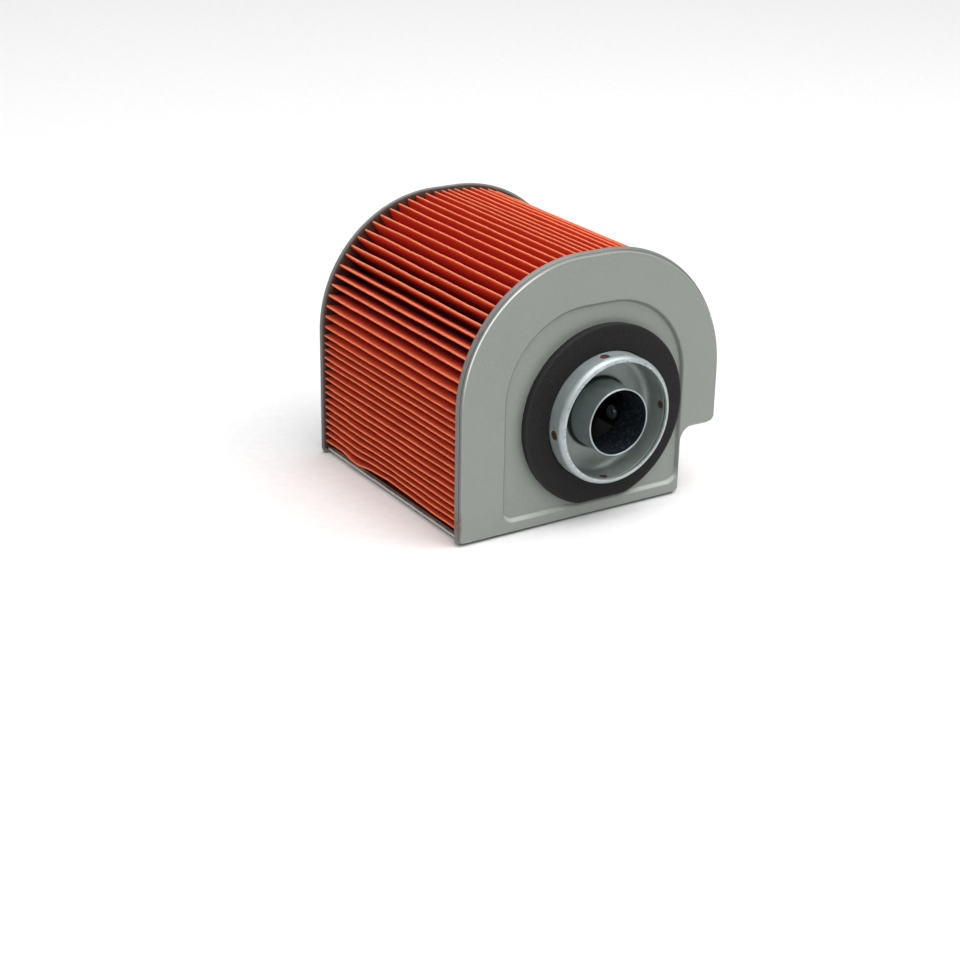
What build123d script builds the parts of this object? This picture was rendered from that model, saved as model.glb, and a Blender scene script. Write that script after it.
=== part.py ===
from build123d import *
import os
from math import cos, pi, radians, sin

# Motorcycle air filter cartridge: two pressed end plates, an arch of pleated paper between them,
# a folded base pan, an inner support screen, and a collared outlet with a foam gasket.
# X runs to the right, -Y is the way the outlet faces, Z is up. The origin is under the middle
# of the whole cartridge, on the surface it stands on. All sizes are in millimetres.

# ---- driving dimensions ----------------------------------------------------------------
WIDTH = 120.0               # end plates, across
HEIGHT = 106.1              # end plates, base to crown
LENGTH = 109.1              # outer face of one end plate to the outer face of the other
ARCH_R_LEFT = 52.9          # crown radius on the left
ARCH_R_RIGHT = 56.3         # crown radius on the right, above the notch
NOTCH_W = 16.1              # notch under the right-hand side
NOTCH_H = 26.9
NOTCH_OUTER_R = 3.5         # convex corner where the notch's roof meets the right side
NOTCH_INNER_R = 4.7         # concave corner inside the notch
FOOT_R = 3.0                # two bottom corners

SHEET = 0.8                 # plate sheet thickness
FLANGE_DEPTH = 2.4          # turned-in rim, measured from the plate's outer face
BEND_R = 1.7                # outside radius of the rim's bend

RECESS_DEPTH = 1.5          # sunken panel in each plate
RECESS_LIP = dict(left=-40.3, right=42.3, top=86.3, low=4.9, r_left=35.0, r_right=35.5, r_low=5.5)
RECESS_FLOOR = dict(left=-38.6, right=40.6, top=84.6, low=6.7, r_left=33.4, r_right=33.9, r_low=3.8)
RECESS_STEPS = 5            # sections through the sloping wall of the panel
RECESS_WALL_GROWTH = 0.35   # how far the back of the sloping wall lies outside its front

OUTLET_X = 3.75             # axis of the outlet
OUTLET_Z = 41.7
SPOUT = 11.0                # how far the tube's mouth stands in front of the plate
TUBE_R = 13.4               # inner tube, outside radius
TUBE_WALL = 0.8
TUBE_BEAD_R = 14.1
TUBE_LIP_R = 14.8
TUBE_EDGE = 0.3             # bevel round the mouth
TUBE_TAIL = 5.0             # inner end of the tube, behind the plate's face
COLLAR_R = 25.4             # collar, outside radius
COLLAR_WALL = 0.9
COLLAR_MOUTH = -10.0        # front edge of the collar
COLLAR_MOUTH_R = 23.3       # outside radius at that edge
COLLAR_SHOULDER = -7.4      # where the straight wall ends and the shoulder begins
COLLAR_FOOT_R = 25.1        # behind the gasket's face the wall is drawn a little narrower
COLLAR_FLANGE_R = 31.0
COLLAR_SEAM = 20.0          # direction of the turned wall's seam, clear of the stakes
CUP_SHEET = 0.8
CUP_FLOOR = 2.7             # front of the floor between collar and tube
CUP_BEND_R = 3.0
STAKE_R = 2.2
STAKE_Y = -5.0
STAKE_ANGLES = (98.0, 185.0, 266.0, 2.0)
STAKE_DIMPLE = 0.15         # how far a stake's ends lie below the walls it joins
BORE_GAP = 0.1              # radial gap of the plate round the collar and of the cup round the tube

GASKET_R = 36.0
GASKET_BORE_GAP = 0.2
GASKET_FACE = -2.1          # front of the foam
GASKET_FLAT_Z = 7.4         # the ring is cut flat at the bottom
GASKET_TAPE = 0.2           # self-adhesive film behind the foam
GASKET_EASE = (1.7, 1.3)    # rear bottom edge eased to clear the panel's sloping wall

PAN_SHEET = 0.7
PAN_EDGE_LEFT = -57.0       # free edges of the pan
PAN_EDGE_RIGHT = 54.0
PAN_HEM = 5.0
HEM_ROUND = 0.6
PAN_END_GAP = 1.8           # the pan's ends, behind the plates' outer faces

TIP_INSET = 1.5             # outer folds, inside the plates' outline
PLEAT_DEPTH = 15.7
PLEAT_PITCH = 3.1           # spacing of the inner folds
PAPER = 0.4
OUTER_FOLD = 0.95           # width across each blunt fold, at the paper's middle
INNER_FOLD = 0.85
MEDIA_FOOT_LEFT = 3.5
MEDIA_FOOT_RIGHT = 30.4

SCREEN_INSET = 17.6
SCREEN_SHEET = 0.5
SCREEN_FOOT_LEFT = 1.5
SCREEN_FOOT_RIGHT = 14.0
SCREEN_HOOPS = 12
SCREEN_HOOP_W = 2.2
SCREEN_BARS = 24
SCREEN_BAR_W = 2.2
SCREEN_PLAIN = 12.0         # unpierced strip along each foot

SEAL_END = 3.4              # rear surface of the potting, behind the plate's outer face
SEAL_OUTER = 1.0
SEAL_INNER = 18.6
SEAL_GAP = 0.1              # between the potting and the back of the sunken panel
BEAD_TOP = 0.9              # seam beads, above the pan's hems

RIVET_Y = -4.2              # blind rivet in the notch's wall
RIVET_Z = 19.8
RIVET_SHANK_R = 1.6
RIVET_HEAD_R = 3.0
RIVET_HEAD = 0.9
RIVET_TAIL_R = 2.6
RIVET_TAIL = 0.7            # height of the closed end, inside the notch
RIVET_HOLE_R = 1.2

# ---- derived places --------------------------------------------------------------------
FRONT_Y = -(LENGTH - SPOUT) / 2
REAR_Y = FRONT_Y + LENGTH
MEDIA_START = FRONT_Y + SEAL_END
MEDIA_LENGTH = LENGTH - 2 * SEAL_END
FOLD_INSET = TIP_INSET + PLEAT_DEPTH
HEM_TOP_LEFT = SHEET + 2 * PAN_SHEET
HEM_TOP_RIGHT = NOTCH_H + SHEET + 2 * PAN_SHEET
OUTLET_AXIS = Axis((OUTLET_X, 0, OUTLET_Z), (0, 1, 0))

os.makedirs("parts", exist_ok=True)


def save(part, name):
    """Label a finished piece and write it to its own file."""
    part.label = name
    export_step(part, f"parts/{name}.step")


def across(y):
    """Upright plane at Y = y, with its own x along X and its own y along Z."""
    return Plane.XZ.offset(-y)


# ---- outlines --------------------------------------------------------------------------
def arch_line(inset, foot_left, foot_right):
    """The plates' crown, set in by a distance, from the left foot over to the right foot."""
    left = -WIDTH / 2 + inset
    right = WIDTH / 2 - inset
    centre_left = (-WIDTH / 2 + ARCH_R_LEFT, HEIGHT - ARCH_R_LEFT)
    centre_right = (WIDTH / 2 - ARCH_R_RIGHT, HEIGHT - ARCH_R_RIGHT)
    with BuildLine() as arch:
        Line((left, foot_left), (left, centre_left[1]))
        CenterArc(centre_left, ARCH_R_LEFT - inset, 180, -90)
        Line((centre_left[0], HEIGHT - inset), (centre_right[0], HEIGHT - inset))
        CenterArc(centre_right, ARCH_R_RIGHT - inset, 90, -90)
        Line((right, centre_right[1]), (right, foot_right))
    return arch.line


def arch_band(outer, inner, foot_left, foot_right):
    """Arch-shaped band between two insets, open at the bottom."""
    with BuildSketch() as band:
        with BuildLine():
            add(arch_line(outer, foot_left, foot_right))
            add(arch_line(inner, foot_left, foot_right))
            Line((-WIDTH / 2 + outer, foot_left), (-WIDTH / 2 + inner, foot_left))
            Line((WIDTH / 2 - outer, foot_right), (WIDTH / 2 - inner, foot_right))
        make_face()
    return band.sketch


def plate_outline(inset=0.0):
    """Outline of an end plate with its notch, set in by a distance."""
    left = -WIDTH / 2 + inset
    right = WIDTH / 2 - inset
    notch_x = WIDTH / 2 - NOTCH_W - inset
    notch_z = NOTCH_H + inset
    corners = (
        ((right, notch_z), NOTCH_OUTER_R - inset),
        ((notch_x, notch_z), NOTCH_INNER_R + inset),
        ((notch_x, inset), FOOT_R - inset),
        ((left, inset), FOOT_R - inset),
    )
    with BuildSketch() as outline:
        with BuildLine():
            add(arch_line(inset, inset, notch_z))
            Polyline((right, notch_z), (notch_x, notch_z), (notch_x, inset), (left, inset))
        make_face()
        for point, radius in corners:
            fillet(outline.vertices().sort_by_distance(point)[0], radius)
    return outline.sketch


def panel_outline(shape, grow=0.0):
    """D-shaped outline of the sunken panel: large radii at the top, small ones at the bottom."""
    left = shape["left"] - grow
    right = shape["right"] + grow
    top = shape["top"] + grow
    low = shape["low"] - grow
    with BuildSketch() as panel:
        with BuildLine():
            Polyline((left, low), (left, top), (right, top), (right, low), close=True)
        make_face()
        fillet(panel.vertices().sort_by_distance((left, top))[0], shape["r_left"] + grow)
        fillet(panel.vertices().sort_by_distance((right, top))[0], shape["r_right"] + grow)
        fillet(panel.vertices().sort_by_distance((left, low))[0], shape["r_low"] + grow)
        fillet(panel.vertices().sort_by_distance((right, low))[0], shape["r_low"] + grow)
    return panel.sketch


def panel_section(share):
    """Outline part of the way down the panel's sloping wall, from the lip (0) to the floor (1)."""
    return {key: RECESS_LIP[key] + share * (RECESS_FLOOR[key] - RECESS_LIP[key]) for key in RECESS_LIP}


def panel_depth(share):
    """Depth part of the way down that wall: eased at both ends so that the edges are soft."""
    eased = share * share * (3 - 2 * share)
    return RECESS_DEPTH * (eased + share) / 2


def panel_loft(start, grow=0.0):
    """Solid that fills the sunken panel, starting at Y = start and reaching rearwards."""
    with BuildPart() as filled:
        for step in range(RECESS_STEPS + 1):
            share = step / RECESS_STEPS
            with BuildSketch(across(start + panel_depth(share))):
                add(panel_outline(panel_section(share), grow))
        loft()
    return filled.part


def tray_hollow():
    """Space inside the plate's turned-in rim."""
    with BuildPart() as hollow:
        with BuildSketch(across(SHEET)):
            add(plate_outline(SHEET))
        extrude(amount=-FLANGE_DEPTH)
        fillet(hollow.faces().sort_by(Axis.Y)[0].edges(), BEND_R - SHEET)
    return hollow.part


def pressed_plate():
    """End plate blank with its outer face on Y = 0 and its rim towards +Y."""
    with BuildPart() as blank:
        with BuildSketch(across(0)):
            add(plate_outline())
        extrude(amount=-FLANGE_DEPTH)
        fillet(blank.faces().sort_by(Axis.Y)[0].edges(), BEND_R)
        add(tray_hollow(), mode=Mode.SUBTRACT)
        add(panel_loft(SHEET, RECESS_WALL_GROWTH))
        add(panel_loft(0), mode=Mode.SUBTRACT)
    return blank.part


def outlet_sketch_plane(turn=0.0):
    """Plane through the outlet's axis: its x is the radius, its y is the distance behind the plate."""
    radial = (cos(radians(turn)), 0, sin(radians(turn)))
    square = (-sin(radians(turn)), 0, cos(radians(turn)))
    return Plane(origin=(OUTLET_X, FRONT_Y, OUTLET_Z), x_dir=radial, z_dir=square)


def stake_plane(angle, radius):
    """Plane across one stake, facing away from the outlet's axis."""
    outward = Vector(cos(radians(angle)), 0, sin(radians(angle)))
    centre = Vector(OUTLET_X, FRONT_Y + STAKE_Y, OUTLET_Z) + outward * radius
    return Plane(origin=centre, z_dir=outward)


# ---- end plates ------------------------------------------------------------------------
blank_plate = pressed_plate()

with BuildPart() as front_plate:
    add(Pos(0, FRONT_Y, 0) * blank_plate)
    with BuildSketch(across(FRONT_Y)):
        with Locations((OUTLET_X, OUTLET_Z)):
            Circle(COLLAR_R + BORE_GAP)
    extrude(amount=-(RECESS_DEPTH + 2 * SHEET), mode=Mode.SUBTRACT)
save(front_plate.part, "front_plate")

with BuildPart() as rear_plate:
    add(Pos(0, REAR_Y, 0) * blank_plate.mirror(Plane.XZ))
save(rear_plate.part, "rear_plate")

# ---- base pan: floor, notch wall and notch roof from one folded sheet, hemmed at both edges ----
with BuildPart() as base_pan:
    with BuildSketch(across(FRONT_Y + PAN_END_GAP)) as pan_section:
        add(plate_outline(SHEET))
        add(plate_outline(SHEET + PAN_SHEET), mode=Mode.SUBTRACT)
        with Locations(((PAN_EDGE_LEFT + PAN_EDGE_RIGHT) / 2, NOTCH_H / 2 + SHEET)):
            Rectangle(PAN_EDGE_RIGHT - PAN_EDGE_LEFT, NOTCH_H + 2 * PAN_SHEET + SHEET, mode=Mode.INTERSECT)
        with Locations((PAN_EDGE_LEFT, HEM_TOP_LEFT - PAN_SHEET)):
            Rectangle(PAN_HEM, PAN_SHEET, align=(Align.MIN, Align.MIN))
        with Locations((PAN_EDGE_RIGHT, HEM_TOP_RIGHT - PAN_SHEET)):
            Rectangle(PAN_HEM, PAN_SHEET, align=(Align.MAX, Align.MIN))
        folds = pan_section.vertices().filter_by(
            lambda v: min(abs(v.X - PAN_EDGE_LEFT), abs(v.X - PAN_EDGE_RIGHT)) < 0.01)
        fillet(folds, HEM_ROUND)
    extrude(amount=-(LENGTH - 2 * PAN_END_GAP))
    with BuildSketch(Plane.YZ.offset(WIDTH / 2 - NOTCH_W - NOTCH_INNER_R)):
        with Locations((RIVET_Y, RIVET_Z)):
            Circle(RIVET_SHANK_R)
    extrude(amount=2 * NOTCH_INNER_R, mode=Mode.SUBTRACT)
save(base_pan.part, "base_pan")


# ---- pleated paper ---------------------------------------------------------------------
def fold_run():
    """Length of the inner fold line, from the left foot over the arch to the right foot."""
    straight_left = HEIGHT - ARCH_R_LEFT - MEDIA_FOOT_LEFT
    straight_right = HEIGHT - ARCH_R_RIGHT - MEDIA_FOOT_RIGHT
    bend_left = (ARCH_R_LEFT - FOLD_INSET) * pi / 2
    bend_right = (ARCH_R_RIGHT - FOLD_INSET) * pi / 2
    crown = WIDTH - ARCH_R_LEFT - ARCH_R_RIGHT
    return (straight_left, bend_left, crown, bend_right, straight_right)


def fold_station(distance):
    """Place on the inner fold line at a distance along it, with the direction out of the arch."""
    straight_left, bend_left, crown, bend_right, straight_right = fold_run()
    if distance <= straight_left:
        return Vector(-WIDTH / 2 + FOLD_INSET, MEDIA_FOOT_LEFT + distance), Vector(-1, 0)
    distance -= straight_left
    if distance <= bend_left:
        angle = pi - distance / (ARCH_R_LEFT - FOLD_INSET)
        outward = Vector(cos(angle), sin(angle))
        centre = Vector(-WIDTH / 2 + ARCH_R_LEFT, HEIGHT - ARCH_R_LEFT)
        return centre + outward * (ARCH_R_LEFT - FOLD_INSET), outward
    distance -= bend_left
    if distance <= crown:
        return Vector(-WIDTH / 2 + ARCH_R_LEFT + distance, HEIGHT - FOLD_INSET), Vector(0, 1)
    distance -= crown
    if distance <= bend_right:
        angle = pi / 2 - distance / (ARCH_R_RIGHT - FOLD_INSET)
        outward = Vector(cos(angle), sin(angle))
        centre = Vector(WIDTH / 2 - ARCH_R_RIGHT, HEIGHT - ARCH_R_RIGHT)
        return centre + outward * (ARCH_R_RIGHT - FOLD_INSET), outward
    distance -= bend_right
    return Vector(WIDTH / 2 - FOLD_INSET, HEIGHT - ARCH_R_RIGHT - distance), Vector(1, 0)


def blunt_fold(distance, height, width):
    """Two points across one fold, at a height above the inner fold line."""
    place, outward = fold_station(distance)
    along = Vector(outward.Y, -outward.X)
    middle = place + outward * height
    return [middle - along * (width / 2), middle + along * (width / 2)]


def zigzag():
    """Middle line of the paper: inner and outer folds by turns, from foot to foot."""
    total = sum(fold_run())
    count = round(total / PLEAT_PITCH)
    pitch = total / count
    points = [fold_station(0)[0]]
    for fold in range(count):
        points += blunt_fold((fold + 0.5) * pitch, PLEAT_DEPTH, OUTER_FOLD)
        if fold < count - 1:
            points += blunt_fold((fold + 1) * pitch, 0, INNER_FOLD)
    points.append(fold_station(total)[0])
    return points


def shifted(points, amount):
    """The same line moved sideways by an amount, with mitred corners."""
    moved = []
    last = len(points) - 1
    for index, point in enumerate(points):
        before = points[max(index, 1)] - points[max(index, 1) - 1]
        after = points[min(index, last - 1) + 1] - points[min(index, last - 1)]
        before = before.normalized()
        middle = (before + after.normalized()).normalized()
        side = Vector(-middle.Y, middle.X)
        moved.append(point + side * (amount / middle.dot(before)))
    return moved


with BuildPart() as pleated_media:
    with BuildSketch(across(MEDIA_START)):
        with BuildLine():
            paper_line = zigzag()
            Polyline(*shifted(paper_line, PAPER / 2), *reversed(shifted(paper_line, -PAPER / 2)), close=True)
        make_face()
    extrude(amount=-MEDIA_LENGTH)
save(pleated_media.part, "pleated_media")

# ---- inner support screen: hoops and bars of one pierced sheet, with a plain strip at each foot ----
with BuildPart() as inner_screen:
    for hoop in range(SCREEN_HOOPS):
        start = MEDIA_START + hoop * (MEDIA_LENGTH - SCREEN_HOOP_W) / (SCREEN_HOOPS - 1)
        with BuildSketch(across(start)):
            add(arch_band(SCREEN_INSET, SCREEN_INSET + SCREEN_SHEET, SCREEN_FOOT_LEFT, SCREEN_FOOT_RIGHT))
        extrude(amount=-SCREEN_HOOP_W)
    with BuildSketch(across(MEDIA_START)) as bar_section:
        add(arch_band(SCREEN_INSET, SCREEN_INSET + SCREEN_SHEET, SCREEN_FOOT_LEFT, SCREEN_FOOT_RIGHT))
        with BuildSketch(mode=Mode.INTERSECT):
            for bar in range(SCREEN_BARS):
                place, outward = fold_station((bar + 0.5) * sum(fold_run()) / SCREEN_BARS)
                turn = Vector(1, 0).get_signed_angle(outward)
                with Locations(Location((place.X, place.Y), turn)):
                    Rectangle(6 * SCREEN_SHEET, SCREEN_BAR_W)
            for side, foot in ((-1, SCREEN_FOOT_LEFT), (1, SCREEN_FOOT_RIGHT)):
                with Locations((side * (WIDTH / 2 - SCREEN_INSET), foot)):
                    Rectangle(6 * SCREEN_SHEET, SCREEN_PLAIN, align=(Align.CENTER, Align.MIN))
    extrude(amount=-MEDIA_LENGTH)
    with BuildSketch(Plane.YZ.offset(WIDTH / 2 - SCREEN_INSET - 2 * SCREEN_SHEET)):
        with Locations((RIVET_Y, RIVET_Z)):
            Circle(RIVET_SHANK_R)
    extrude(amount=3 * SCREEN_SHEET, mode=Mode.SUBTRACT)
save(inner_screen.part, "inner_screen")

# ---- potting that bonds paper and screen into the rim of each plate -------------------
panel_back = panel_loft(SHEET, RECESS_WALL_GROWTH + SEAL_GAP)


def potting():
    """Band of potting behind a plate whose outer face is on Y = 0."""
    with BuildPart() as band:
        with BuildSketch(across(SHEET)):
            add(arch_band(SEAL_OUTER, SEAL_INNER, HEM_TOP_LEFT + 0.1, HEM_TOP_RIGHT + 0.1))
        extrude(amount=-(SEAL_END - SHEET))
        long_edges = band.faces().sort_by(Axis.Y)[0].edges().filter_by(lambda e: e.length > SEAL_INNER)
        fillet(long_edges, BEND_R - SHEET)
        add(panel_back, mode=Mode.SUBTRACT)
    return band.part


potting_band = potting()

with BuildPart() as front_sealant:
    add(Pos(0, FRONT_Y, 0) * potting_band)
save(front_sealant.part, "front_sealant")

with BuildPart() as rear_sealant:
    add(Pos(0, REAR_Y, 0) * potting_band.mirror(Plane.XZ))
save(rear_sealant.part, "rear_sealant")


# ---- seam beads that bond the paper's two ends to the pan's hems ----------------------
def seam_bead(side, edge, hem_top):
    """Bead along one hem; it steps down behind the hem onto the sheet."""
    outer = edge - side * 0.5
    step = edge - side * PAN_HEM
    inner = side * (WIDTH / 2 - SCREEN_INSET + SCREEN_SHEET)
    with BuildPart() as bead:
        with BuildSketch(across(MEDIA_START)):
            with BuildLine():
                Polyline(
                    (outer, hem_top),
                    (outer, hem_top + BEAD_TOP),
                    (inner, hem_top + BEAD_TOP),
                    (inner, hem_top - PAN_SHEET),
                    (step, hem_top - PAN_SHEET),
                    (step, hem_top),
                    close=True,
                )
            make_face()
        extrude(amount=-MEDIA_LENGTH)
    return bead.part


with BuildPart() as left_seam_bead:
    add(seam_bead(-1, PAN_EDGE_LEFT, HEM_TOP_LEFT))
save(left_seam_bead.part, "left_seam_bead")

with BuildPart() as right_seam_bead:
    add(seam_bead(1, PAN_EDGE_RIGHT, HEM_TOP_RIGHT))
save(right_seam_bead.part, "right_seam_bead")

# ---- blind rivet that pins the screen's foot to the notch wall ------------------------
pan_inner_x = WIDTH / 2 - NOTCH_W - SHEET - PAN_SHEET
screen_inner_x = pan_inner_x - SCREEN_SHEET
pan_outer_x = pan_inner_x + PAN_SHEET

with BuildPart() as screen_rivet:
    with BuildSketch(Plane(origin=(0, RIVET_Y, RIVET_Z), x_dir=(1, 0, 0), z_dir=(0, 0, 1))):
        with BuildLine():
            Polyline(
                (screen_inner_x - RIVET_HEAD, RIVET_HOLE_R),
                (screen_inner_x - RIVET_HEAD, RIVET_HEAD_R - RIVET_HEAD / 2),
                (screen_inner_x - RIVET_HEAD / 3, RIVET_HEAD_R),
                (screen_inner_x, RIVET_HEAD_R),
                (screen_inner_x, RIVET_SHANK_R),
                (pan_outer_x, RIVET_SHANK_R),
                (pan_outer_x, RIVET_TAIL_R),
                (pan_outer_x + RIVET_TAIL / 2, RIVET_TAIL_R),
                (pan_outer_x + RIVET_TAIL, RIVET_SHANK_R),
                (pan_outer_x + RIVET_TAIL, 0),
                (screen_inner_x, 0),
                (screen_inner_x, RIVET_HOLE_R),
                close=True,
            )
        make_face()
    revolve(axis=Axis((0, RIVET_Y, RIVET_Z), (1, 0, 0)))
save(screen_rivet.part, "screen_rivet")

# ---- outlet collar: flanged behind the plate, straight wall, shoulder turned in at the mouth ----
shoulder_run = COLLAR_SHOULDER - COLLAR_MOUTH
shoulder_in = COLLAR_R - COLLAR_MOUTH_R
shoulder_r = (shoulder_run ** 2 + shoulder_in ** 2) / (2 * shoulder_in)
shoulder_centre = COLLAR_R - shoulder_r
mouth_direction = Vector(COLLAR_MOUTH_R - shoulder_centre, -shoulder_run).normalized()
mouth_inner = Vector(shoulder_centre, COLLAR_SHOULDER) + mouth_direction * (shoulder_r - COLLAR_WALL)
flange_front = RECESS_DEPTH + SHEET

with BuildPart() as outlet_collar:
    with BuildSketch(outlet_sketch_plane(COLLAR_SEAM)) as collar_section:
        with BuildLine():
            Line((COLLAR_MOUTH_R, COLLAR_MOUTH), (mouth_inner.X, mouth_inner.Y))
            RadiusArc(
                (mouth_inner.X, mouth_inner.Y),
                (COLLAR_R - COLLAR_WALL, COLLAR_SHOULDER),
                -(shoulder_r - COLLAR_WALL),
            )
            Polyline(
                (COLLAR_R - COLLAR_WALL, COLLAR_SHOULDER),
                (COLLAR_R - COLLAR_WALL, flange_front + COLLAR_WALL),
                (COLLAR_FLANGE_R, flange_front + COLLAR_WALL),
                (COLLAR_FLANGE_R, flange_front),
                (COLLAR_FOOT_R, flange_front),
                (COLLAR_FOOT_R, GASKET_FACE + COLLAR_R - COLLAR_FOOT_R),
                (COLLAR_R, GASKET_FACE),
                (COLLAR_R, COLLAR_SHOULDER),
            )
            RadiusArc((COLLAR_R, COLLAR_SHOULDER), (COLLAR_MOUTH_R, COLLAR_MOUTH), shoulder_r)
        make_face()
        bend = (COLLAR_R - COLLAR_WALL, flange_front + COLLAR_WALL)
        fillet(collar_section.vertices().filter_by(
            lambda v: abs(v.X - bend[0]) < 0.01 and abs(v.Y - bend[1]) < 0.01), COLLAR_WALL)
    revolve(axis=OUTLET_AXIS)
    for angle in STAKE_ANGLES:
        with BuildSketch(stake_plane(angle, COLLAR_R - 2 * COLLAR_WALL)):
            Circle(STAKE_R)
        extrude(amount=4 * COLLAR_WALL, mode=Mode.SUBTRACT)
save(outlet_collar.part, "outlet_collar")

# ---- outlet cup: skirt inside the collar and the floor between collar and tube ---------
cup_r = COLLAR_R - COLLAR_WALL
with BuildPart() as outlet_cup:
    with BuildSketch(outlet_sketch_plane()) as cup_section:
        with BuildLine():
            Polyline(
                (TUBE_R + BORE_GAP, CUP_FLOOR),
                (cup_r - CUP_SHEET, CUP_FLOOR),
                (cup_r - CUP_SHEET, COLLAR_SHOULDER),
                (cup_r, COLLAR_SHOULDER),
                (cup_r, CUP_FLOOR + CUP_SHEET),
                (TUBE_R + BORE_GAP, CUP_FLOOR + CUP_SHEET),
                close=True,
            )
        make_face()
        inner_bend = cup_section.vertices().filter_by(
            lambda v: abs(v.X - cup_r + CUP_SHEET) < 0.01 and abs(v.Y - CUP_FLOOR) < 0.01)
        fillet(inner_bend, CUP_BEND_R)
        outer_bend = cup_section.vertices().filter_by(
            lambda v: abs(v.X - cup_r) < 0.01 and abs(v.Y - CUP_FLOOR - CUP_SHEET) < 0.01)
        fillet(outer_bend, CUP_BEND_R + CUP_SHEET)
    revolve(axis=OUTLET_AXIS)
    for angle in STAKE_ANGLES:
        with BuildSketch(stake_plane(angle, cup_r - 3 * CUP_SHEET)):
            Circle(STAKE_R)
        extrude(amount=4 * CUP_SHEET, mode=Mode.SUBTRACT)
save(outlet_cup.part, "outlet_cup")

# ---- stakes that join the collar to the cup: four alike ---------------------------------
with BuildPart() as collar_stakes:
    stake_foot = cup_r - CUP_SHEET + STAKE_DIMPLE
    for angle in STAKE_ANGLES:
        with BuildSketch(stake_plane(angle, stake_foot)):
            Circle(STAKE_R)
        extrude(amount=COLLAR_R - STAKE_DIMPLE - stake_foot)
save(collar_stakes.part, "collar_stakes")

# ---- inner tube: held in the cup's floor between a bead and a rolled lip ---------------
bead_height = TUBE_BEAD_R - TUBE_R
with BuildPart() as outlet_tube:
    with BuildSketch(outlet_sketch_plane()):
        with BuildLine():
            Polyline(
                (TUBE_R - TUBE_WALL, -SPOUT),
                (TUBE_R - TUBE_EDGE, -SPOUT),
                (TUBE_R, -SPOUT + TUBE_EDGE),
                (TUBE_R, CUP_FLOOR - 2 * bead_height),
                (TUBE_BEAD_R, CUP_FLOOR - bead_height),
                (TUBE_BEAD_R, CUP_FLOOR),
                (TUBE_R, CUP_FLOOR),
                (TUBE_R, CUP_FLOOR + CUP_SHEET),
                (TUBE_LIP_R, CUP_FLOOR + CUP_SHEET),
                (TUBE_LIP_R, CUP_FLOOR + 2 * CUP_SHEET),
                (TUBE_R, TUBE_TAIL),
                (TUBE_R - TUBE_WALL, TUBE_TAIL),
                close=True,
            )
        make_face()
    revolve(axis=OUTLET_AXIS)
save(outlet_tube.part, "outlet_tube")


# ---- foam gasket round the collar, and the adhesive film that holds it -----------------
def gasket_ring(outer, inner, flat_z):
    """Ring round the outlet, cut flat at the bottom."""
    with BuildSketch() as ring:
        with Locations((OUTLET_X, OUTLET_Z)):
            Circle(outer)
            Circle(inner, mode=Mode.SUBTRACT)
        with Locations((OUTLET_X, flat_z)):
            Rectangle(2 * outer, outer, align=(Align.CENTER, Align.MAX), mode=Mode.SUBTRACT)
    return ring.sketch


with BuildPart() as outlet_gasket:
    with BuildSketch(across(FRONT_Y + GASKET_FACE)):
        add(gasket_ring(GASKET_R, COLLAR_R + GASKET_BORE_GAP, GASKET_FLAT_Z))
    extrude(amount=-(RECESS_DEPTH - GASKET_TAPE - GASKET_FACE))
    flat_face = outlet_gasket.faces().sort_by(Axis.Z)[0]
    chamfer(flat_face.edges().sort_by(Axis.Y)[-1], GASKET_EASE[0], GASKET_EASE[1], reference=flat_face)
save(outlet_gasket.part, "outlet_gasket")

with BuildPart() as gasket_tape:
    with BuildSketch(across(FRONT_Y + RECESS_DEPTH - GASKET_TAPE)):
        add(gasket_ring(GASKET_R - 0.5, COLLAR_R + 0.5, GASKET_FLAT_Z + GASKET_EASE[1] + 0.2))
    extrude(amount=-GASKET_TAPE)
save(gasket_tape.part, "gasket_tape")
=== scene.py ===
"""Looks of the arched pleated-paper air filter cartridge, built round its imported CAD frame."""

import math

import bmesh
import bpy
import numpy as np
from mathutils import Matrix, Vector, noise


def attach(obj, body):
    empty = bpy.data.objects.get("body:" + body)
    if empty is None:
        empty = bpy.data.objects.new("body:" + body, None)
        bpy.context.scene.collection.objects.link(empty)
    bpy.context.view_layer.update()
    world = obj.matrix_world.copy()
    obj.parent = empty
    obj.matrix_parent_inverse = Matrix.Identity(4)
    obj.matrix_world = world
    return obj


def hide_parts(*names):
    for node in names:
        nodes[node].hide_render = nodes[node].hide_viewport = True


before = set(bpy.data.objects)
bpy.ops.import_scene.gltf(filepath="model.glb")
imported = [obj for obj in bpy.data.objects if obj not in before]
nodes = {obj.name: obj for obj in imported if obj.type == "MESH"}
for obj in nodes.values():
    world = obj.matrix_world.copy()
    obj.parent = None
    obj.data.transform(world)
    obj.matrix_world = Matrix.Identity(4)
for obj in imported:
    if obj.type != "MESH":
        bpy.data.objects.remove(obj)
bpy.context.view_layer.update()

MM = 0.001

# ---- the design's own dimensions, in mm (x right, y rearwards, z up) --------------------
# depths along the outlet's axis count from the front plate's face; a negative one is in front of it
FRONT, REAR = -49.05, 60.05
HALF = 60.0
ARCH = {"left": (-7.1, 53.2, 52.9), "right": (3.7, 49.8, 56.3)}
NOTCH_X, NOTCH_Z = 43.9, 26.9
NOTCH_OUTER_R, NOTCH_INNER_R, FOOT_R = 3.5, 4.7, 3.0
SHEET = 0.8
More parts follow.
